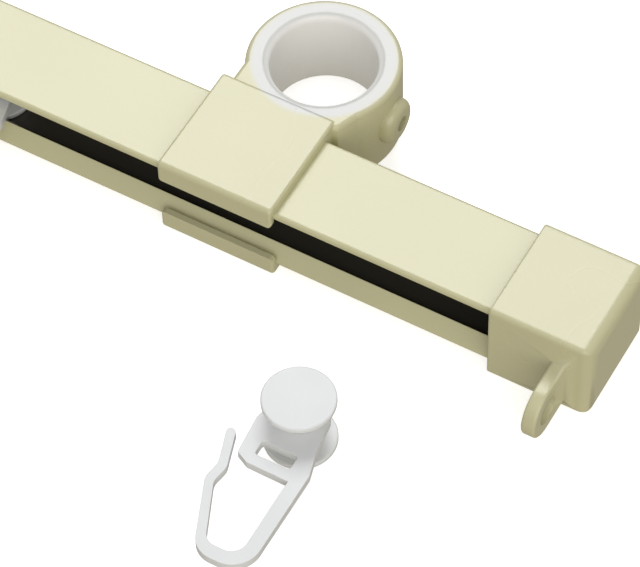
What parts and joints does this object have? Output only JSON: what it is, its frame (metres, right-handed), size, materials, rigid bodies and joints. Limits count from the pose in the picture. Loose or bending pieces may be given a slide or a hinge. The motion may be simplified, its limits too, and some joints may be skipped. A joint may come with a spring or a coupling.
{
  "type": "curtain track",
  "caption": "Slotted curtain rail with closed end caps and hanging eyes, clip-on ring brackets for wall pegs, and roller gliders with hooks.",
  "frame": {"origin": "centre of the right-hand bracket's peg bore", "axes": "+X along the rail towards the right-hand end cap, +Y from the rail to the rings, +Z along the peg bores, square to the rail's wide faces; the slot looks along -Y, which is down when the track hangs in use"},
  "size_m": [0.3114, 0.1096, 0.0188],
  "materials": {
    "rail_enamel": "satin enamel",
    "cream_plastic": "satin moulded plastic",
    "white_nylon": "smooth white nylon",
    "screw_steel": "zinc plated"
  },
  "bodies": {
    "track": {"track_profile": "rail_enamel", "end_cap_right": "cream_plastic", "end_cap_left": "cream_plastic", "loose_glider_hook": "white_nylon"},
    "bracket_right": {"bracket_right": "cream_plastic", "bracket_right_upper_arm": "cream_plastic", "bracket_right_lower_arm": "cream_plastic", "clamp_screw_right": "screw_steel"},
    "bracket_left": {"bracket_left": "cream_plastic", "bracket_left_upper_arm": "cream_plastic", "bracket_left_lower_arm": "cream_plastic", "clamp_screw_left": "screw_steel"},
    "glider_1_hook": {"glider_1_hook": "white_nylon"},
    "glider_2_hook": {"glider_2_hook": "white_nylon"},
    "glider_3_hook": {"glider_3_hook": "white_nylon"},
    "glider_4_hook": {"glider_4_hook": "white_nylon"},
    "glider_1_upper_roller": {"glider_1_upper_roller": "white_nylon"},
    "glider_1_lower_roller": {"glider_1_lower_roller": "white_nylon"},
    "glider_2_upper_roller": {"glider_2_upper_roller": "white_nylon"},
    "glider_2_lower_roller": {"glider_2_lower_roller": "white_nylon"},
    "glider_3_upper_roller": {"glider_3_upper_roller": "white_nylon"},
    "glider_3_lower_roller": {"glider_3_lower_roller": "white_nylon"},
    "glider_4_upper_roller": {"glider_4_upper_roller": "white_nylon"},
    "glider_4_lower_roller": {"glider_4_lower_roller": "white_nylon"},
    "loose_glider_upper_roller": {"loose_glider_upper_roller": "white_nylon"},
    "loose_glider_lower_roller": {"loose_glider_lower_roller": "white_nylon"}
  },
  "joints": [
    {"name": "bracket_right_slide", "type": "slide", "parent": "track", "child": "bracket_right", "axis": [1, 0, 0], "range_m": [-0.06, 0.042]},
    {"name": "bracket_left_slide", "type": "slide", "parent": "track", "child": "bracket_left", "axis": [1, 0, 0], "range_m": [-0.036, 0.06]},
    {"name": "glider_1_run", "type": "slide", "parent": "track", "child": "glider_1_hook", "axis": [1, 0, 0], "range_m": [-0.008, 0.099]},
    {"name": "glider_2_run", "type": "slide", "parent": "track", "child": "glider_2_hook", "axis": [1, 0, 0], "range_m": [-0.008, 0.008]},
    {"name": "glider_3_run", "type": "slide", "parent": "track", "child": "glider_3_hook", "axis": [1, 0, 0], "range_m": [-0.008, 0.008]},
    {"name": "glider_4_run", "type": "slide", "parent": "track", "child": "glider_4_hook", "axis": [1, 0, 0], "range_m": [-0.06, 0.008]},
    {"name": "glider_1_upper_roller_turn", "type": "hinge", "parent": "glider_1_hook", "child": "glider_1_upper_roller", "pos_m": [-0.0555, -0.02513, 0], "axis": [0, 0, 1], "continuous": true},
    {"name": "glider_1_lower_roller_turn", "type": "hinge", "parent": "glider_1_hook", "child": "glider_1_lower_roller", "pos_m": [-0.0555, -0.02513, 0], "axis": [0, 0, 1], "continuous": true},
    {"name": "glider_2_upper_roller_turn", "type": "hinge", "parent": "glider_2_hook", "child": "glider_2_upper_roller", "pos_m": [-0.0835, -0.02513, 0], "axis": [0, 0, 1], "continuous": true},
    {"name": "glider_2_lower_roller_turn", "type": "hinge", "parent": "glider_2_hook", "child": "glider_2_lower_roller", "pos_m": [-0.0835, -0.02513, 0], "axis": [0, 0, 1], "continuous": true},
    {"name": "glider_3_upper_roller_turn", "type": "hinge", "parent": "glider_3_hook", "child": "glider_3_upper_roller", "pos_m": [-0.1115, -0.02513, 0], "axis": [0, 0, 1], "continuous": true},
    {"name": "glider_3_lower_roller_turn", "type": "hinge", "parent": "glider_3_hook", "child": "glider_3_lower_roller", "pos_m": [-0.1115, -0.02513, 0], "axis": [0, 0, 1], "continuous": true},
    {"name": "glider_4_upper_roller_turn", "type": "hinge", "parent": "glider_4_hook", "child": "glider_4_upper_roller", "pos_m": [-0.1395, -0.02513, 0], "axis": [0, 0, 1], "continuous": true},
    {"name": "glider_4_lower_roller_turn", "type": "hinge", "parent": "glider_4_hook", "child": "glider_4_lower_roller", "pos_m": [-0.1395, -0.02513, 0], "axis": [0, 0, 1], "continuous": true},
    {"name": "loose_glider_upper_roller_turn", "type": "hinge", "parent": "track", "child": "loose_glider_upper_roller", "pos_m": [0.0304, -0.063, -0.00305], "axis": [0, 0, 1], "continuous": true},
    {"name": "loose_glider_lower_roller_turn", "type": "hinge", "parent": "track", "child": "loose_glider_lower_roller", "pos_m": [0.0304, -0.063, -0.00305], "axis": [0, 0, 1], "continuous": true}
  ]
}
